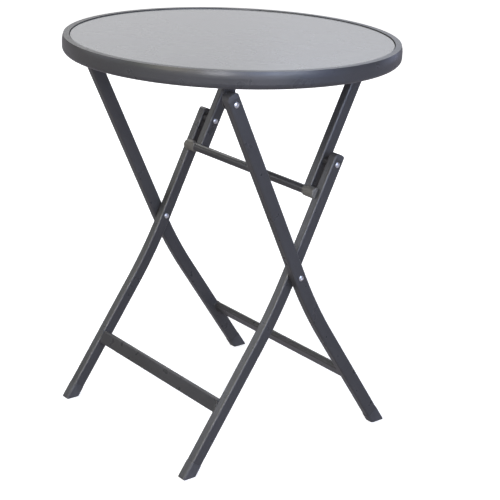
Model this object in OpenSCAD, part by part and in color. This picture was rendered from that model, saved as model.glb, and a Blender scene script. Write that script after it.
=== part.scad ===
// Folding bistro table: round rimmed top with an inset panel, carried on a
// scissor frame. X runs along the hinge pins, Y is the direction of the splay,
// Z is up. The origin is on the floor under the middle of the top.
// The outer legs hang from the front hinge and reach the floor at the back.
// The inner legs cross them and are carried by a folding strut, which hangs
// from the rear hinge and is pinned to the upper ends of the inner legs.

/* [Top] */
// Height of the finished top above the floor
table_height = 720; // [650:1:760]
// Outside diameter of the rim
top_diameter = 600; // [500:1:700]
// Height of the rim band
rim_height = 30; // [20:0.5:40]
// Sheet thickness of the rim
rim_wall = 1.5; // [1:0.1:3]
// How far the upper edge of the band leans in from its widest line
rim_crown = 2; // [1:0.5:3]
// Width of the flat flange on top of the rim
rim_flange = 12.8; // [8:0.1:20]
// Radius where the rim turns under at its lower edge
rim_lower_radius = 9; // [4:0.5:12]
// Thickness of the glass panel
glass_thickness = 5; // [4:0.5:8]
// How far the glass lies below the flange
glass_drop = 1.5; // [0.5:0.1:4]
// Radial gap between the glass and the flange
glass_gap = 0.8; // [0.3:0.1:3]
// Width of the ledge that carries the glass
ledge_width = 24; // [12:1:40]

/* [Under frame] */
// Height of the cross rails under the glass
rail_height = 15; // [10:1:25]
// Width of the cross rails
rail_width = 25; // [15:1:40]
// Thickness of the hinge ears
ear_thickness = 3; // [2:0.1:5]
// Radius of the rounded lower end of an ear
ear_radius = 12; // [9:0.5:18]

/* [Legs] */
// Depth of the leg tube, in the plane of the splay
tube_depth = 25; // [18:0.5:35]
// Depth of the tube of the inner legs and the strut
inner_depth = 23.5; // [18:0.5:35]
// Width of the leg tube, along the hinge pins
tube_width = 18; // [12:0.5:25]
// Outside corner radius of the leg tube
tube_radius = 4; // [2:0.5:7]
// Wall of the leg tube
tube_wall = 1.5; // [1:0.1:3]
// Angle of the straight upper legs from the vertical
splay = 25.5; // [15:0.5:35]
// Centre-line radius of the outward bend of the lower legs
bend_radius = 900; // [200:5:1500]
// Height above the crossing pin, along the leg, where the bend starts; negative is below
bend_start = -5; // [-60:1:60]
// Distance from the crossing pin to the front hinge
upper_length = 362; // [300:1:420]
// Height of the crossing pin above the floor
cross_height = 334; // [250:1:400]
// Sideways place of the crossing pin in the splay direction
cross_y = -6; // [-30:0.5:30]
// Distance from the middle to the middle of an outer leg
outer_x = 213.8; // [150:0.1:260]
// Distance from the middle to the middle of an inner leg
inner_x = 193; // [140:0.1:240]
// Distance from the middle to the middle of a strut tube
strut_x = 161.6; // [120:0.1:220]
// Length of an upper leg beyond its top pin
end_beyond = 19; // [10:0.5:30]
// Length of a foot cap on the leg axis
foot_length = 27; // [20:0.5:40]

/* [Stretchers] */
// Height of the stretchers along the leg
stretcher_height = 25; // [15:0.5:35]
// Depth of the stretchers
stretcher_depth = 12; // [8:0.5:20]
// Place of the inner stretcher, from the floor along the leg
inner_stretcher_at = 132; // [80:1:200]
// Turn of the inner stretcher's face from the lower leg towards upright
inner_stretcher_tilt = 9; // [0:0.5:34]
// Place of the outer stretcher, from the floor along the leg
outer_stretcher_at = 120; // [80:1:200]

/* [Strut] */
// Length of the strut tubes beyond the knee pin
strut_beyond = 54; // [30:1:80]
// Diameter of the round cross tube
cross_tube_diameter = 16; // [12:0.5:22]
// Distance of the cross tube beyond the knee pin
cross_tube_at = 60; // [40:1:90]
// Diameter of the stop bumpers
bumper_diameter = 20.5; // [17:0.5:28]
// Rounding of the bumper ends
bumper_round = 3; // [1:0.5:5]
// Distance from the middle to the outer end of a bumper
bumper_end = 192.5; // [186:0.5:202]
// Distance from the middle to the inner end of a bumper
bumper_start = 162; // [150:0.5:170]

/* [Pins] */
// Radius of the pin shanks
pin_radius = 3; // [2:0.1:5]
// Radial clearance of a pin in the part that turns on it
pin_clearance = 0.05; // [0.01:0.01:0.1]
// Height of the plug caps above the tube ends
cap_height = 9.5; // [3:0.5:12]
// Rounding of the plug caps across the leg
cap_round = 9; // [1:0.5:11]
// How far a foot cap stands out from the tube on each side
foot_proud = 0.6; // [0.3:0.1:1.5]
// Radius of the domed pin heads
head_radius = 5; // [4:0.1:10]
// Height of the domed pin heads
head_height = 2.2; // [2:0.1:5]
// Side gap between parts that turn on each other
side_gap = 0.35; // [0.3:0.05:1]

/* [Hidden] */
top_r = top_diameter / 2;
z_top = table_height;
z_rim = z_top - rim_height;
flange_r = top_r - rim_flange;
// the crown is an arc of radius 37 over a depth of 12, so it leans in by 2
crown_depth = rim_crown * 6;
crown_in = rim_crown;
crown_r = rim_crown * 18.5;
glass_r = flange_r - glass_gap;
z_glass = z_top - glass_drop;
z_under = z_glass - glass_thickness;
seal_h = 1;
z_ledge = z_under - seal_h;
ledge_t = 1.5;
ledge_r = flange_r - ledge_width + 6;
z_rail = z_rim + 1;
z_rail_top = z_rail + rail_height;

sa = sin(splay);
ca = cos(splay);
// the bend is two equal arcs; a triangle with sides 237, 3116 and 3125 gives their
// angle, about 4.35 degrees, so the arcs and the straight tube meet exactly
half_bend = atan2(237, 3116);
half_y = bend_radius * (1 - 3116 / 3125);
half_z = bend_radius * 237 / 3125;
leg_bend = 2 * half_bend;
lower_angle = splay + leg_bend;
// crossing pin, front hinge, knee pin and rear hinge in the Y-Z plane
py = cross_y;
pz = cross_height;
hay = py - upper_length * sa;
haz = pz + upper_length * ca;
knee_length = upper_length * (1 - sa);
qy = py + knee_length * sa;
qz = pz + knee_length * ca;
hcy = py + upper_length * sa;
hcz = haz;
strut_length = upper_length * sa;
// end of the bend in a leg's own frame, and the length from there to the floor
by = bend_radius * (1 - cos(leg_bend));
bz = bend_start - bend_radius * sin(leg_bend);
bend_z = pz + by * sa + bz * ca;
floor_length = bend_z / cos(lower_angle);
lower_length = floor_length - foot_length;
upper_cut = upper_length + end_beyond - cap_height;
knee_cut = knee_length + end_beyond - cap_height;

outer_in = outer_x - tube_width / 2;
outer_out = outer_x + tube_width / 2;
inner_in = inner_x - tube_width / 2;
inner_out = inner_x + tube_width / 2;
strut_in = strut_x - tube_width / 2;
strut_out = strut_x + tube_width / 2;

front_ear_out = outer_in - side_gap - 1;
front_ear_in = front_ear_out - ear_thickness;
rear_ear_out = strut_in - side_gap - 1;
rear_ear_in = rear_ear_out - ear_thickness;

steel = [0.3, 0.3, 0.32];
plastic = [0.36, 0.35, 0.34];
zinc = [0.75, 0.76, 0.78];
rubber = [0.1, 0.1, 0.1];
$fn = 96;

// ---------- shared shapes ----------

// rectangle with rounded corners, centred
module rrect(a, b, r) {
    square([a - 2 * r, b], center = true);
    square([a, b - 2 * r], center = true);
    for (i = [-1, 1], j = [-1, 1])
        translate([i * (a / 2 - r), j * (b / 2 - r)]) circle(r = r);
}

// cylinder along +X from x0 to x1 at (y, z)
module xcyl(x0, x1, r, y = 0, z = 0) {
    translate([x0, y, z]) rotate([0, 90, 0]) cylinder(h = x1 - x0, r = r);
}

// the same solid on both sides of the middle plane
module both() {
    children();
    mirror([1, 0, 0]) children();
}

// the frame at the end of one arc of the bend
module after_arc() {
    translate([0, half_y, -half_z]) rotate([half_bend, 0, 0]) children();
}
// one arc of the bend, from the plane z = 0 down to the end of the arc
module arc_piece(a, b, r) {
    difference() {
        rotate([-90, 0, 0]) rotate([0, 90, 0]) translate([-bend_radius, 0, 0])
            rotate_extrude(angle = half_bend + 0.5, $fn = 1440) translate([bend_radius, 0]) rrect(b, a, r, $fn = 48);
        after_arc() translate([-40, -40, -40]) cube([80, 80, 40]);
    }
}
// a leg without its bores, its crossing pin at the origin and its upper part along +Z
module leg_solid(a, b, r, up, down) {
    translate([0, 0, bend_start]) {
        linear_extrude(height = up - bend_start) rrect(a, b, r);
        arc_piece(a, b, r);
        after_arc() {
            arc_piece(a, b, r);
            after_arc() translate([0, 0, -down]) linear_extrude(height = down) rrect(a, b, r);
        }
    }
}

// the hollow leg, with a sleeve across it at each pin
module leg_tube(up, top_pin, d) {
    difference() {
        union() {
            difference() {
                leg_solid(tube_width, d, tube_radius, up, lower_length);
                leg_solid(tube_width - 2 * tube_wall, d - 2 * tube_wall,
                    tube_radius - tube_wall, up + 1, lower_length + 1);
            }
            xcyl(-tube_width / 2 + 0.5, tube_width / 2 - 0.5, 5);
            xcyl(-tube_width / 2 + 0.5, tube_width / 2 - 0.5, 5, 0, top_pin);
        }
        xcyl(-tube_width, tube_width, pin_radius + pin_clearance);
        xcyl(-tube_width, tube_width, pin_radius + pin_clearance, 0, top_pin);
    }
}

// puts a leg made upright into the place of an outer or an inner leg
module outer_place(x) {
    translate([x, py, pz]) rotate([splay, 0, 0]) children();
}
module inner_place(x) {
    translate([x, py, pz]) mirror([0, 1, 0]) rotate([splay, 0, 0]) children();
}
// puts a shape made on a leg's lower axis, floor point at the origin, +Z up the leg
module outer_low(x) {
    outer_place(x) translate([0, by, bz]) rotate([leg_bend, 0, 0])
        translate([0, 0, -floor_length]) children();
}
module inner_low(x) {
    inner_place(x) translate([0, by, bz]) rotate([leg_bend, 0, 0])
        translate([0, 0, -floor_length]) children();
}
// strut frame: knee pin at the origin, +Z up the strut towards the rear hinge
module strut_place(x) {
    translate([x, qy, qz]) rotate([-splay, 0, 0]) children();
}

// outline of a cap from the side: width w, height h above 0, its two upper corners rounded
module cap_side(w, h, r) {
    translate([-w / 2 - 1, -2]) square([w + 2, h - r + 2]);
    translate([-w / 2 + r, -2]) square([w - 2 * r, h + 2]);
    for (i = [-1, 1]) translate([i * (w / 2 + 0.1 - r), h - r]) circle(r = r);
}
// plastic plug in a tube end, its cap rounded both ways, along +Z
module end_plug(d) {
    w = tube_width - 0.3;
    dd = d - 0.3;
    intersection() {
        linear_extrude(height = cap_height) rrect(w, dd, tube_radius - 0.2);
        translate([-40, 0, 0]) rotate([90, 0, 90]) linear_extrude(height = 80)
            cap_side(dd, cap_height, cap_round);
        translate([0, 40, 0]) rotate([90, 0, 0]) linear_extrude(height = 80)
            cap_side(w, cap_height, 2);
    }
    difference() {
        translate([0, 0, -4.8]) linear_extrude(height = 5)
            rrect(tube_width - 2 * tube_wall - 0.2, d - 2 * tube_wall - 0.2, 2.6);
        translate([0, 0, -6]) linear_extrude(height = 4.5)
            rrect(tube_width - 2 * tube_wall - 3.2, d - 2 * tube_wall - 3.2, 1);
    }
}

// outline of a foot from the side, in the leg's own frame, for the depth w: the floor
// line crosses the leg at the angle of the lower leg, and both of its corners are round
module foot_side(w, h, r1, r2) {
    sl = sin(lower_angle);
    cl = cos(lower_angle);
    z1 = (r1 - (w / 2 - r1) * sl) / cl;
    z2 = (r2 + (w / 2 - r2) * sl) / cl;
    polygon([[w / 2, h], [w / 2, z1], [w / 2 - r1 - r1 * sl, z1 - r1 * cl],
        [-w / 2 + r2 - r2 * sl, z2 - r2 * cl], [-w / 2, z2], [-w / 2, h]]);
    translate([w / 2 - r1, z1]) circle(r = r1);
    translate([-w / 2 + r2, z2]) circle(r = r2);
}
// wedge foot: lower end of the leg shape cut level with the floor
module foot_cap(d) {
    w = d + 2 * foot_proud;
    difference() {
        union() {
            intersection() {
                translate([0, 0, -14]) linear_extrude(height = foot_length + 14 - 0.1)
                    rrect(tube_width + 2 * foot_proud, w, tube_radius + foot_proud);
                translate([-40, 0, 0]) rotate([90, 0, 90]) linear_extrude(height = 80)
                    foot_side(w + 0.1, foot_length + 5, 2.2, 2);
            }
            translate([0, 0, foot_length - 1]) linear_extrude(height = 13)
                rrect(tube_width - 2 * tube_wall - 0.2, d - 2 * tube_wall - 0.2, 2.6);
        }
        // hollow of the insert
        translate([0, 0, foot_length + 2]) linear_extrude(height = 20)
            rrect(tube_width - 2 * tube_wall - 3.2, d - 2 * tube_wall - 3.2, 1);
    }
}

// domed head with a hexagon socket, seated at the origin and pointing along +X
module pin_head(r = head_radius, h = head_height) {
    rim = 0.9;
    rs = (r * r + (h - rim) * (h - rim)) / (2 * (h - rim));
    difference() {
        rotate([0, 90, 0]) rotate_extrude() {
            square([r, rim]);
            intersection() {
                translate([0, h - rs]) circle(r = rs, $fn = 360);
                translate([0, rim - 0.01]) square([r, h]);
            }
        }
        translate([h - 1.3, 0, 0]) rotate([0, 90, 0]) cylinder(h = 3, r = 2.3, $fn = 6);
    }
}

// ---------- the top ----------

// outline of the rim in its own section: radius across, height up
module rim_section() {
    r2 = rim_lower_radius;
    w = rim_wall;
    difference() {
        union() {
            translate([flange_r, -rim_height + r2]) square([rim_flange, rim_height - r2 - crown_depth]);
            translate([flange_r, -rim_height]) square([rim_flange - r2, rim_height]);
            // crowned upper part, leaning in by crown_in up to the sharp edge of the flange
            intersection() {
                translate([top_r - crown_r, -crown_depth]) circle(r = crown_r, $fn = 720);
                translate([flange_r, -crown_depth]) square([rim_flange, crown_depth]);
            }
            intersection() {
                translate([top_r - r2, -rim_height + r2]) circle(r = r2);
                translate([flange_r, -rim_height]) square([rim_flange, rim_height]);
            }
        }
        // hollow behind the band, open to the inside below the flange
        translate([flange_r - 1, -rim_height + r2])
            square([rim_flange + 1 - w, rim_height - r2 - crown_depth]);
        intersection() {
            translate([top_r - crown_r, -crown_depth]) circle(r = crown_r - w, $fn = 720);
            translate([flange_r - 1, -crown_depth - 0.5]) square([rim_flange + 1, crown_depth + 0.5 - w]);
        }
        translate([flange_r - 1, -rim_height + w]) square([rim_flange + 1 - r2, rim_height - 2 * w]);
        translate([top_r - r2, -rim_height + r2]) circle(r = r2 - w);
    }
    // turned-down lip that hides the edge of the glass
    translate([flange_r, -2.6]) square([w, 2]);
    // upstand on the lower lip
    translate([flange_r, -rim_height]) square([w, 4]);
}

module rim_frame() {
    color(steel) translate([0, 0, z_top]) rotate_extrude($fn = 360) rim_section();
}

// flat ring welded inside the band, turned down at its inner edge
module glass_ledge() {
    color(steel) translate([0, 0, z_ledge]) rotate_extrude($fn = 360) {
        translate([ledge_r, -ledge_t]) square([top_r - rim_wall - 0.45 - ledge_r, ledge_t]);
        translate([ledge_r, -4.5]) square([ledge_t, 4.5]);
    }
}

module glass_panel() {
    color([0.6, 0.62, 0.63]) translate([0, 0, z_under]) rotate_extrude($fn = 360) {
        square([glass_r - 1, glass_thickness]);
        translate([0, 1]) square([glass_r, glass_thickness - 2]);
        translate([glass_r - 1, 1]) circle(r = 1);
        translate([glass_r - 1, glass_thickness - 1]) circle(r = 1);
    }
}

module glass_seal() {
    color(rubber) translate([0, 0, z_ledge]) rotate_extrude($fn = 360)
        translate([ledge_r + 1, 0]) square([12, seal_h]);
}

module pad() {
    cylinder(h = z_under - z_rail_top - 1.5, r = 7);
    cylinder(h = z_under - z_rail_top, r = 5.5);
}
module glass_pads() {
    color(rubber) for (i = [-1, 1], y = [hay, hcy])
        translate([i * 90, y, z_rail_top]) pad();
}

// hollow rail from band to band, its ends shaped to the round band
module rail(y) {
    half = 320;
    color(steel) intersection() {
        translate([-half, y, z_rail + rail_height / 2]) rotate([90, 0, 90])
            linear_extrude(height = 2 * half) difference() {
                rrect(rail_width, rail_height, 3);
                rrect(rail_width - 3, rail_height - 3, 1.5);
            }
        difference() {
            translate([0, 0, z_rail - 5]) cylinder(h = rail_height + 10, r = top_r - rim_wall - 0.1, $fn = 360);
            // relief over the turned-under lower edge of the band
            translate([0, 0, z_rail - 5]) difference() {
                cylinder(h = rim_lower_radius + 4.2, r = top_r + 20, $fn = 360);
                translate([0, 0, -1]) cylinder(h = rim_lower_radius + 8, r = flange_r - 0.2, $fn = 360);
            }
        }
    }
}
module front_rail() { rail(hay); }
module rear_rail() { rail(hcy); }

// ear plate hanging from a rail, rounded about its pin, with a foot under the rail
module ear(x0, y, z, foot) {
    difference() {
        union() {
            translate([x0, y, z]) rotate([0, 90, 0]) cylinder(h = ear_thickness, r = ear_radius);
            translate([x0, y - ear_radius, z]) cube([ear_thickness, 2 * ear_radius, z_rail - z]);
            translate([x0 - foot, y - ear_radius, z_rail - ear_thickness])
                cube([foot + ear_thickness, 2 * ear_radius, ear_thickness]);
        }
        xcyl(x0 - 5, x0 + ear_thickness + 5, pin_radius + 0.02, y, z);
    }
}
module front_ears() {
    color(steel) both() ear(front_ear_in, hay, haz, 16);
}
module rear_ears() {
    color(steel) both() ear(rear_ear_in, hcy, hcz, 16);
}

// pin with a domed head outside and a nut inside
module pin(x_nut, x_head, y, z, nut_r = 5.6) {
    xcyl(x_nut - 4.5, x_head + 0.4, pin_radius, y, z);
    translate([x_head, y, z]) pin_head();
    translate([x_nut - 5, y, z]) rotate([0, 90, 0]) cylinder(h = 5, r = nut_r, $fn = 6);
}
module front_hinge_pins() {
    color(zinc) both() pin(front_ear_in - 0.05, outer_out + side_gap, hay, haz);
}
module rear_hinge_pins() {
    color(zinc) both() pin(rear_ear_in - 0.05, strut_out + side_gap, hcy, hcz);
}
module ring(x0, x1, r, y, z) {
    difference() {
        xcyl(x0, x1, r, y, z);
        xcyl(x0 - 1, x1 + 1, pin_radius + 0.03, y, z);
    }
}
module front_washers() {
    color(zinc) both() ring(front_ear_out, front_ear_out + 1, 6.5, hay, haz);
}
module rear_washers() {
    color(zinc) both() ring(rear_ear_out, rear_ear_out + 1, 6.5, hcy, hcz);
}

// ---------- outer legs ----------

module outer_leg_right() { color(steel) outer_place(outer_x) leg_tube(upper_cut, upper_length, tube_depth); }
module outer_leg_left() { color(steel) outer_place(-outer_x) leg_tube(upper_cut, upper_length, tube_depth); }

// hollow stretcher between two inner faces; side is the offset across the leg
module stretcher(half, side) {
    translate([-half, side, 0]) rotate([90, 0, 90]) linear_extrude(height = 2 * half) difference() {
        rrect(stretcher_depth, stretcher_height, 3);
        rrect(stretcher_depth - 2.4, stretcher_height - 2.4, 1.8);
    }
}
module outer_stretcher() {
    color(steel) outer_low(0) translate([0, 0, outer_stretcher_at])
        stretcher(outer_in, (tube_depth - stretcher_depth) / 2);
}
module outer_feet() { color(plastic) both() outer_low(outer_x) foot_cap(tube_depth); }
module outer_plugs() { color(plastic) both() outer_place(outer_x) translate([0, 0, upper_cut]) end_plug(tube_depth); }

// ---------- inner legs ----------

module inner_leg_right() { color(steel) inner_place(inner_x) leg_tube(knee_cut, knee_length, inner_depth); }
module inner_leg_left() { color(steel) inner_place(-inner_x) leg_tube(knee_cut, knee_length, inner_depth); }
module inner_stretcher() {
    color(steel) inner_low(0) translate([0, 0, inner_stretcher_at])
        translate([0, (inner_depth - stretcher_depth) / 2 - 1.5, 0]) rotate([-inner_stretcher_tilt, 0, 0])
            stretcher(inner_in, 0);
}
module inner_feet() { color(plastic) both() inner_low(inner_x) foot_cap(inner_depth); }
module inner_plugs() { color(plastic) both() inner_place(inner_x) translate([0, 0, knee_cut]) end_plug(inner_depth); }

// pins at the crossing: fixed in the inner leg, the outer leg turns on them
module crossing_pins() {
    color(zinc) both() {
        xcyl(inner_in - 0.4, outer_out + side_gap + 0.4, pin_radius, py, pz);
        translate([outer_out + side_gap, py, pz]) pin_head();
        translate([inner_in, py, pz]) mirror([1, 0, 0]) pin_head();
    }
}
module crossing_washers() {
    color(plastic) both() ring(inner_out, outer_in - side_gap, 8, py, pz);
}
// knee: screw through the inner leg and its spacer, ending short of the strut
module knee_screws() {
    color(zinc) both() {
        xcyl(strut_out + side_gap, inner_out + 0.4, pin_radius, qy, qz);
        translate([inner_out, qy, qz]) pin_head();
    }
}
module knee_spacers() {
    color(plastic) both() ring(strut_out + side_gap, inner_in, 7.5, qy, qz);
}

// ---------- folding strut ----------

module strut_tube() {
    up = strut_length + end_beyond - cap_height;
    difference() {
        union() {
            difference() {
                translate([0, 0, -strut_beyond]) linear_extrude(height = up + strut_beyond)
                    rrect(tube_width, inner_depth, tube_radius);
                translate([0, 0, -strut_beyond - 1]) linear_extrude(height = up + strut_beyond + 2)
                    rrect(tube_width - 2 * tube_wall, inner_depth - 2 * tube_wall, tube_radius - tube_wall);
            }
            xcyl(-tube_width / 2 + 0.5, tube_width / 2 - 0.5, 5);
            xcyl(-tube_width / 2 + 0.5, tube_width / 2 - 0.5, 5, 0, strut_length);
        }
        xcyl(-tube_width, tube_width, pin_radius + pin_clearance);
        xcyl(-tube_width, tube_width, pin_radius + pin_clearance, 0, strut_length);
        cross_bar_cut();
    }
}
// seat for the round cross tube in the lower end of a strut tube
module cross_bar_cut() {
    xcyl(-40, 40, cross_tube_diameter / 2, -inner_depth / 2, -cross_tube_at);
}
module strut_right() { color(steel) strut_place(strut_x) strut_tube(); }
module strut_left() { color(steel) strut_place(-strut_x) strut_tube(); }
module strut_cross_tube() {
    color(steel) strut_place(0) difference() {
        xcyl(-inner_in + 1.5, inner_in - 1.5, cross_tube_diameter / 2 - 0.02, -inner_depth / 2, -cross_tube_at);
        xcyl(-inner_in, inner_in, cross_tube_diameter / 2 - 1.5, -inner_depth / 2, -cross_tube_at);
    }
}
module strut_plugs() {
    color(plastic) both() strut_place(strut_x) translate([0, 0, strut_length + end_beyond - cap_height]) end_plug(inner_depth);
}

// bumper: sleeve on the end of the cross tube, half round where it lies on the inner leg
module bumper() {
    r = bumper_diameter / 2;
    q = bumper_round;
    l = bumper_end - bumper_start;
    cy = -inner_depth / 2;
    difference() {
        translate([bumper_start, cy, -cross_tube_at]) rotate([0, 90, 0]) rotate_extrude() {
            square([r - q, l]);
            translate([0, q]) square([r, l - 2 * q]);
            for (z = [q, l - q]) translate([r - q, z]) circle(r = q);
        }
        // bore for the cross tube
        xcyl(bumper_start - 1, inner_in - 1.4, cross_tube_diameter / 2 + 0.02, cy, -cross_tube_at);
        // clear of the strut tube end
        translate([bumper_start - 1, -inner_depth, -strut_beyond])
            cube([strut_out + 0.1 - bumper_start + 1, 2 * inner_depth, 40]);
        // flat that rests on the inner leg
        translate([inner_in - 0.5, -inner_depth / 2 - 0.3, -cross_tube_at - 20]) cube([40, 40, 40]);
    }
}
module stop_bumpers() { color(plastic) strut_place(0) both() bumper(); }

module knee_caps() {
    color(zinc) both() {
        xcyl(strut_in - 0.4, strut_out, pin_radius, qy, qz);
        translate([strut_in, qy, qz]) mirror([1, 0, 0]) pin_head();
    }
}

rim_frame();
glass_ledge();
glass_panel();
glass_seal();
glass_pads();
front_rail();
rear_rail();
front_ears();
rear_ears();
front_hinge_pins();
rear_hinge_pins();
front_washers();
rear_washers();
outer_leg_left();
outer_leg_right();
outer_stretcher();
outer_feet();
outer_plugs();
inner_leg_left();
inner_leg_right();
inner_stretcher();
inner_feet();
inner_plugs();
crossing_pins();
crossing_washers();
knee_screws();
knee_spacers();
strut_left();
strut_right();
strut_cross_tube();
strut_plugs();
stop_bumpers();
knee_caps();
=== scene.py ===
import math
import bpy
import bmesh
from mathutils import Matrix, Vector


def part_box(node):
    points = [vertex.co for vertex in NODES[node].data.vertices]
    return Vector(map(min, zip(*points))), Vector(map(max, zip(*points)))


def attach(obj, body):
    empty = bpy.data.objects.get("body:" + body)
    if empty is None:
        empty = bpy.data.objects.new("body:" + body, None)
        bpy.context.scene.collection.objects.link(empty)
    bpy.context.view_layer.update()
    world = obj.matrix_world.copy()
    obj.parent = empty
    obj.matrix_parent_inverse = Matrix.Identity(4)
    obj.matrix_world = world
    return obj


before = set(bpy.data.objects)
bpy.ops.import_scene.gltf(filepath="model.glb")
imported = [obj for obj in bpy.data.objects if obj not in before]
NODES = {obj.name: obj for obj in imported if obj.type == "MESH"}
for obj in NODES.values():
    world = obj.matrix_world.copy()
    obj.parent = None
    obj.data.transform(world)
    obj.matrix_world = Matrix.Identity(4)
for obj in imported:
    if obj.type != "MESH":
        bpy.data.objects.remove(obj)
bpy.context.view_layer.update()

scene = bpy.context.scene

# ---------------------------------------------------------------- node helpers


class Graph:
    """Small helper to write a material's node graph."""

    def __init__(self, name):
        self.mat = bpy.data.materials.new(name)
        self.mat.use_nodes = True
        self.tree = self.mat.node_tree
        self.tree.nodes.clear()
        self.out = self.tree.nodes.new("ShaderNodeOutputMaterial")
        self.bsdf = self.tree.nodes.new("ShaderNodeBsdfPrincipled")
        self.link(self.bsdf.outputs["BSDF"], self.out.inputs["Surface"])
        self.coord = self.tree.nodes.new("ShaderNodeTexCoord").outputs["Object"]

    def link(self, a, b):
        self.tree.links.new(a, b)

    def put(self, value, socket):
        if hasattr(value, "is_output"):
            self.link(value, socket)
        else:
            socket.default_value = value

    def noise(self, scale, detail=2.0, rough=0.5, vector=None, distortion=0.0):
        n = self.tree.nodes.new("ShaderNodeTexNoise")
        self.link(vector or self.coord, n.inputs["Vector"])
        n.inputs["Scale"].default_value = scale
        n.inputs["Detail"].default_value = detail
        n.inputs["Roughness"].default_value = rough
        n.inputs["Distortion"].default_value = distortion
        return n.outputs["Fac"]

    def voronoi(self, scale, feature="F1", vector=None, output="Distance"):
        n = self.tree.nodes.new("ShaderNodeTexVoronoi")
        n.feature = feature
        self.link(vector or self.coord, n.inputs["Vector"])
        n.inputs["Scale"].default_value = scale
        return n.outputs[output]

    def scaled(self, sx, sy, sz):
        n = self.tree.nodes.new("ShaderNodeMapping")
        self.link(self.coord, n.inputs["Vector"])
        n.inputs["Scale"].default_value = (sx, sy, sz)
        return n.outputs["Vector"]

    def ramp(self, fac, stops):
        n = self.tree.nodes.new("ShaderNodeValToRGB")
        self.link(fac, n.inputs["Fac"])
        e = n.color_ramp.elements
        while len(e) < len(stops):
            e.new(0.5)
        for el, (p, c) in zip(e, stops):
            el.position = p
            el.color = c if len(c) == 4 else (*c, 1.0)
        return n.outputs["Color"]

    def span(self, fac, lo, hi, a=0.0, b=1.0):
        n = self.tree.nodes.new("ShaderNodeMapRange")
        self.link(fac, n.inputs["Value"])
        n.inputs["From Min"].default_value = a
        n.inputs["From Max"].default_value = b
        n.inputs["To Min"].default_value = lo
        n.inputs["To Max"].default_value = hi
        return n.outputs["Result"]

    def math(self, op, a, b=0.0):
        n = self.tree.nodes.new("ShaderNodeMath")
        n.operation = op
        self.put(a, n.inputs[0])
        self.put(b, n.inputs[1])
        return n.outputs["Value"]

    def mix(self, fac, a, b, blend="MIX"):
        n = self.tree.nodes.new("ShaderNodeMix")
        n.data_type = "RGBA"
        n.blend_type = blend
        self.put(fac, n.inputs["Factor"])
        ins = [s for s in n.inputs if s.type == "RGBA"]
        for v, s in ((a, ins[0]), (b, ins[1])):
            self.put(v if hasattr(v, "is_output") else ((*v, 1.0) if len(v) == 3 else v), s)
        return [s for s in n.outputs if s.type == "RGBA"][0]

    def bump(self, height, strength, distance, normal=None):
        n = self.tree.nodes.new("ShaderNodeBump")
        self.link(height, n.inputs["Height"])
        n.inputs["Strength"].default_value = strength
        n.inputs["Distance"].default_value = distance
        if normal is not None:
            self.link(normal, n.inputs["Normal"])
        return n.outputs["Normal"]

    def set(self, **kw):
        for k, v in kw.items():
            self.put(v, self.bsdf.inputs[k.replace("_", " ")])
        return self


def powder_coat(name, low, high, rough=(0.36, 0.5)):
    g = Graph(name)
    broad = g.noise(7.0, 3.0)
    fine = g.noise(1500.0, 2.0, 0.6)
    peel = g.noise(520.0, 1.0, 0.4)
    tone = g.ramp(broad, [(0.3, low), (0.7, high)])
    speck = g.ramp(fine, [(0.35, (0.82, 0.82, 0.82)), (0.65, (1.12, 1.12, 1.12))])
    g.set(Base_Color=g.mix(0.7, tone, speck, "MULTIPLY"),
          Roughness=g.span(g.noise(45.0, 4.0), rough[0], rough[1], 0.3, 0.7),
          Specular_IOR_Level=0.55)
    n1 = g.bump(peel, 0.22, 0.00012)
    g.set(Normal=g.bump(fine, 0.3, 0.00004, n1))
    return g.mat


def plastic(name, low, high, rough=(0.42, 0.58), grain=900.0):
    g = Graph(name)
    tone = g.ramp(g.noise(30.0, 3.0), [(0.3, low), (0.7, high)])
    cells = g.voronoi(grain)
    g.set(Base_Color=tone,
          Roughness=g.span(g.noise(160.0, 3.0), rough[0], rough[1], 0.3, 0.7))
    g.set(Normal=g.bump(cells, 0.3, 0.00006, g.bump(g.noise(80.0, 2.0), 0.15, 0.0003)))
    return g.mat


def zinc(name):
    g = Graph(name)
    fine = g.noise(2200.0, 3.0, 0.6)
    tone = g.ramp(g.noise(240.0, 3.0), [(0.3, (0.74, 0.75, 0.77)), (0.7, (0.9, 0.9, 0.91))])
    g.set(Base_Color=tone, Metallic=1.0,
          Roughness=g.span(g.noise(600.0, 3.0), 0.28, 0.42, 0.3, 0.7))
    g.set(Normal=g.bump(fine, 0.25, 0.00003))
    return g.mat


def glass_print(name):
    g = Graph(name)
    cloud = g.noise(11.0, 3.0, 0.5, distortion=0.8)
    blot = g.noise(42.0, 3.0, 0.5, distortion=0.4)
    grain = g.noise(420.0, 2.0, 0.5)
    base = g.ramp(cloud, [(0.32, (0.182, 0.185, 0.192)), (0.5, (0.206, 0.208, 0.211)), (0.7, (0.233, 0.235, 0.235))])
    veil = g.ramp(blot, [(0.35, (0.94, 0.943, 0.95)), (0.65, (1.04, 1.04, 1.035))])
    dots = g.ramp(grain, [(0.4, (0.985, 0.985, 0.985)), (0.6, (1.015, 1.015, 1.015))])
    col = g.mix(1.0, g.mix(1.0, base, veil, "MULTIPLY"), dots, "MULTIPLY")
    g.set(Base_Color=col, Roughness=g.span(cloud, 0.24, 0.3, 0.3, 0.7), Coat_Weight=1.0,
          Coat_Roughness=0.13, Coat_IOR=1.5, Specular_IOR_Level=0.15)
    return g.mat


def rubber(name):
    g = Graph(name)
    g.set(Base_Color=g.ramp(g.noise(120.0, 3.0), [(0.3, (0.02, 0.02, 0.02)), (0.7, (0.035, 0.035, 0.035))]),
          Roughness=g.span(g.noise(300.0, 2.0), 0.6, 0.8, 0.3, 0.7))
    g.set(Normal=g.bump(g.noise(1200.0, 2.0), 0.3, 0.00005))
    return g.mat


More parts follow.
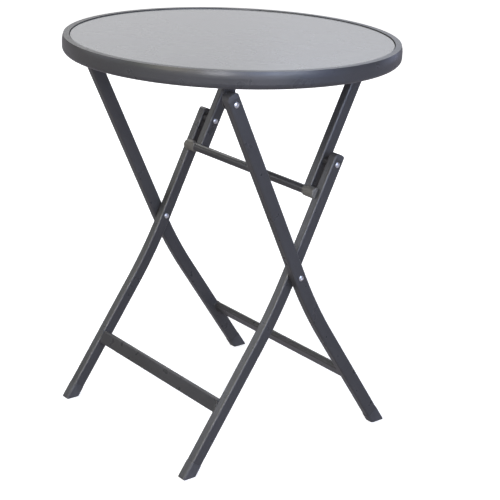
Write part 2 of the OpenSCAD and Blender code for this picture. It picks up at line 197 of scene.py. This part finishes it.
MATS = {
    "powder_coat": powder_coat("powder_coat", (0.05, 0.05, 0.052), (0.062, 0.062, 0.065), (0.26, 0.35)),
    "dark_plastic": plastic("dark_plastic", (0.062, 0.062, 0.066), (0.082, 0.082, 0.086)),
    "grey_plastic": plastic("grey_plastic", (0.135, 0.129, 0.116), (0.17, 0.163, 0.147)),
    "zinc_hardware": zinc("zinc_hardware"),
    "mottled_glass": glass_print("mottled_glass"),
    "rubber": rubber("rubber"),
}
for node, obj in NODES.items():
    for ms in obj.material_slots:
        key = ms.material.name.split(".")[0] if ms.material else "powder_coat"
        ms.material = MATS.get(key, MATS["powder_coat"])

# the spacers sit deep between the leg and the strut; their near-black colour, darker than the other plastic, is
# painted shade
SPACER_SHADE = plastic("spacer_painted_shade", (0.03, 0.03, 0.032), (0.045, 0.045, 0.047))
for ms in NODES["knee_spacers"].material_slots:
    ms.material = SPACER_SHADE

# the band's sharp upper edges are slightly broken, as a rolled and coated edge is
edge = NODES["rim_frame"].modifiers.new("broken_edges", "BEVEL")
edge.width = 0.0006
edge.segments = 3
edge.limit_method = "ANGLE"
edge.angle_limit = math.radians(55)

# ---------------------------------------------------------------- weld beads


def verts(node):
    return [NODES[node].matrix_world @ v.co for v in NODES[node].data.vertices]


def end_loop(node, x, tol=0.0006):
    """Outline, in the Y-Z plane, of the node's end at this x."""
    pts = {(round(v.y, 6), round(v.z, 6)) for v in verts(node) if abs(v.x - x) < tol}
    cy = sum(p[0] for p in pts) / len(pts)
    cz = sum(p[1] for p in pts) / len(pts)
    rmax = {}
    for y, z in pts:
        k = round(math.degrees(math.atan2(z - cz, y - cy)) / 3.0)
        if k not in rmax or math.hypot(y - cy, z - cz) > rmax[k][0]:
            rmax[k] = (math.hypot(y - cy, z - cz), y, z)
    return [Vector((x, rmax[k][1], rmax[k][2])) for k in sorted(rmax)]


def resample(path, step, closed):
    pts = list(path) + ([path[0]] if closed else [])
    out, carry = [pts[0].copy()], 0.0
    for p, q in zip(pts, pts[1:]):
        d = (q - p).length
        t = step - carry
        while t < d:
            out.append(p.lerp(q, t / d))
            t += step
        carry = d - (t - step)
    if not closed:
        out.append(pts[-1].copy())
    return out


def bead(name, paths, body, radius=0.0017, pitch=0.0021, sides=10):
    """Rippled fillet weld swept along each path; a path is (points, closed)."""
    bm = bmesh.new()
    for number, (path, closed) in enumerate(paths):
        pts = resample(path, pitch / 6.0, closed)
        n = len(pts)
        rings = []
        for i, p in enumerate(pts):
            a = pts[(i - 1) % n] if closed or i > 0 else p
            b = pts[(i + 1) % n] if closed or i < n - 1 else p
            t = (b - a).normalized()
            u = t.cross(Vector((1, 0, 0)))
            if u.length < 0.2:
                u = t.cross(Vector((0, 0, 1)))
            u.normalize()
            v = t.cross(u).normalized()
            s = i * pitch / 6.0
            phase = (s / pitch) % 1.0
            wob = 0.10 * math.sin(s * 310.0 + number) + 0.06 * math.sin(s * 121.0 + 2.0 * number)
            r = radius * (0.86 + 0.2 * (1.0 - phase) ** 1.5 + wob)
            if not closed:
                r *= min(1.0, 0.35 + min(i, n - 1 - i) / 8.0)
            lean = radius * 0.35 * math.cos(2 * math.pi * phase)
            rings.append([bm.verts.new(p + (u * math.cos(k) + v * math.sin(k)) * r + t * lean * math.cos(k))
                          for k in (2 * math.pi * j / sides for j in range(sides))])
        last = n if closed else n - 1
        for i in range(last):
            p, q = rings[i], rings[(i + 1) % n]
            for j in range(sides):
                bm.faces.new((p[j], p[(j + 1) % sides], q[(j + 1) % sides], q[j]))
        if not closed:
            bm.faces.new(list(reversed(rings[0])))
            bm.faces.new(rings[-1])
    bmesh.ops.recalc_face_normals(bm, faces=bm.faces)
    for f in bm.faces:
        f.smooth = True
    me = bpy.data.meshes.new(name)
    bm.to_mesh(me)
    bm.free()
    me.materials.append(MATS["powder_coat"])
    o = bpy.data.objects.new(name, me)
    scene.collection.objects.link(o)
    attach(o, body)
    return o


def both_ends(node):
    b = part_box(node)
    x0, x1 = float(b[0][0]), float(b[1][0])
    return [(end_loop(node, x0), True), (end_loop(node, x1), True)]


bead("weld_inner_stretcher", both_ends("inner_stretcher"), "inner_legs")
bead("weld_outer_stretcher", both_ends("outer_stretcher"), "outer_legs")
bead("weld_cross_tube", both_ends("strut_cross_tube"), "fold_strut", 0.0015)
for which in ("front", "rear"):
    lo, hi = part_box(which + "_ears")
    y0, y1, z = float(lo[1]), float(hi[1]), float(hi[2])
    xs = sorted({round(abs(v.x), 5) for v in verts(which + "_ears")})
    lines = []
    for x in (xs[0], xs[-1]):
        for side in (-1, 1):
            lines.append(([Vector((side * x, y0 + 0.002, z)), Vector((side * x, y1 - 0.002, z))], False))
    bead("weld_%s_ears" % which, lines, "tabletop")

# ---------------------------------------------------------------- camera

CAM = [1.893265, -1.475124, 1.171115, 0.881644, 0.322401, 0.042883, 1367.214]
cx, cy, cz, yaw, pitch, roll, focal = CAM
right = Vector((math.cos(yaw), math.sin(yaw), 0.0))
fwd = Vector((-math.sin(yaw) * math.cos(pitch), math.cos(yaw) * math.cos(pitch), -math.sin(pitch)))
up = right.cross(fwd)
r2 = right * math.cos(roll) + up * math.sin(roll)
u2 = -right * math.sin(roll) + up * math.cos(roll)
cam_data = bpy.data.cameras.new("camera")
cam = bpy.data.objects.new("camera", cam_data)
scene.collection.objects.link(cam)
m = Matrix((
    (r2.x, u2.x, -fwd.x, cx),
    (r2.y, u2.y, -fwd.y, cy),
    (r2.z, u2.z, -fwd.z, cz),
    (0, 0, 0, 1)))
cam.matrix_world = m
cam_data.sensor_width = 36.0
cam_data.lens = focal * 36.0 / 500.0
cam_data.shift_x = -0.024
cam_data.shift_y = -0.05
cam_data.clip_end = 50.0
scene.camera = cam

# ---------------------------------------------------------------- floor, world and lights


def floor():
    # a round white floor that sweeps up into a wall 12 m away
    me = bpy.data.meshes.new("floor")
    line = [(3.0, 0.0), (9.0, 0.0)]
    line += [(9.0 + 3.0 * math.sin(k * math.pi / 16), 3.0 - 3.0 * math.cos(k * math.pi / 16)) for k in range(1, 9)]
    line.append((12.0, 14.0))
    n = 72
    co = [(0.0, 0.0, 0.0)]
    for r, h in line:
        co += [(r * math.cos(2 * math.pi * k / n), r * math.sin(2 * math.pi * k / n), h) for k in range(n)]
    faces = [(0, 1 + k, 1 + (k + 1) % n) for k in range(n)]
    for j in range(len(line) - 1):
        p, q = 1 + j * n, 1 + (j + 1) * n
        faces += [(p + k, q + k, q + (k + 1) % n, p + (k + 1) % n) for k in range(n)]
    me.from_pydata(co, [], faces)
    for f in me.polygons:
        f.use_smooth = True
    o = bpy.data.objects.new("floor", me)
    scene.collection.objects.link(o)
    g = Graph("floor")
    length = g.tree.nodes.new("ShaderNodeVectorMath")
    length.operation = "LENGTH"
    g.link(g.coord, length.inputs[0])
    glow = g.span(length.outputs["Value"], 0.62, 0.95, 0.5, 2.6)
    g.set(Base_Color=g.ramp(g.noise(0.6, 2.0), [(0.3, (0.9, 0.9, 0.9)), (0.7, (0.92, 0.92, 0.92))]), Roughness=0.9,
          Specular_IOR_Level=0.1, Emission_Color=(1, 1, 1, 1), Emission_Strength=glow)
    me.materials.append(g.mat)
    o.location.z = -0.0008
    # a white sweep: it shows and takes the shadows; the light from below comes from the world
    o.visible_diffuse = False
    o.visible_glossy = False
    o.visible_shadow = False
    return o


floor()

WORLD_UP = (0.112, 0.1, 0.1)
WORLD_DOWN = (0.32, 0.305, 0.34)
world = bpy.data.worlds.new("studio")
world.use_nodes = True
wt = world.node_tree
bg = wt.nodes["Background"]
wc = wt.nodes.new("ShaderNodeTexCoord")
wx = wt.nodes.new("ShaderNodeSeparateXYZ")
wr = wt.nodes.new("ShaderNodeValToRGB")
wm = wt.nodes.new("ShaderNodeMapRange")
wt.links.new(wc.outputs["Generated"], wx.inputs[0])
wt.links.new(wx.outputs["Z"], wm.inputs["Value"])
wm.inputs["From Min"].default_value = -0.05
wm.inputs["From Max"].default_value = 0.05
wt.links.new(wm.outputs["Result"], wr.inputs["Fac"])
wr.color_ramp.elements[0].color = (*WORLD_DOWN, 1.0)
wr.color_ramp.elements[1].color = (*WORLD_UP, 1.0)
wt.links.new(wr.outputs["Color"], bg.inputs["Color"])
bg.inputs["Strength"].default_value = 1.0
scene.world = world
scene.view_settings.view_transform = "Standard"

TARGET = Vector((0.0, 0.0, 0.42))
# elevation, azimuth, then the red, green and blue parts of a 100 W soft panel 3.2 m away;
# a last pair gives the width and height of a panel that is not 1.4 m square
PANELS = [
    (24, 0, 0.228, 0.246, 0.304),
    (62, 300, 0.138, 0.166, 0.180),
    (24, 288, 0.168, 0.151, 0.119),
    (8, 342, 0.110, 0.107, 0.120),
    (24, 342, 0.066, 0.098, 0.163),
    (24, 234, 0.079, 0.080, 0.098),
    (42, 255, 0.100, 0.096, 0.060),
    (24, 270, 0.064, 0.068, 0.048),
    (24, 216, 0.066, 0.068, 0.064),
    (24, 324, 0.039, 0.040, 0.056),
    (8, 0, 0.031, 0.042, 0.057),
    (34, 126, 0.047, 0.054, 0.071),
    (8, 18, 0.014, 0.024, 0.058),
    (10, 90, 0.025, 0.029, 0.043),
    (16, 314, 0.230, 0.230, 0.238, 0.7, 0.7),
    (42, 162, 0.160, 0.160, 0.154, 1.0, 1.0),
    (17, 132, 0.115, 0.117, 0.121, 3.2, 1.7),
]
for el, az, cr, cg, cb, *wh in PANELS:
    e, a = math.radians(el), math.radians(az)
    top = max(cr, cg, cb)
    d = bpy.data.lights.new("panel_%d_%d" % (el, az), "AREA")
    d.energy = 100.0 * top
    d.color = (cr / top, cg / top, cb / top)
    d.shape = "RECTANGLE"
    d.size, d.size_y = wh or (1.4, 1.4)
    o = bpy.data.objects.new(d.name, d)
    scene.collection.objects.link(o)
    o.location = TARGET + Vector((math.cos(e) * math.cos(a), math.cos(e) * math.sin(a), math.sin(e))) * 3.2
    o.rotation_euler = (TARGET - o.location).to_track_quat("-Z", "Y").to_euler()
    o.visible_camera = False
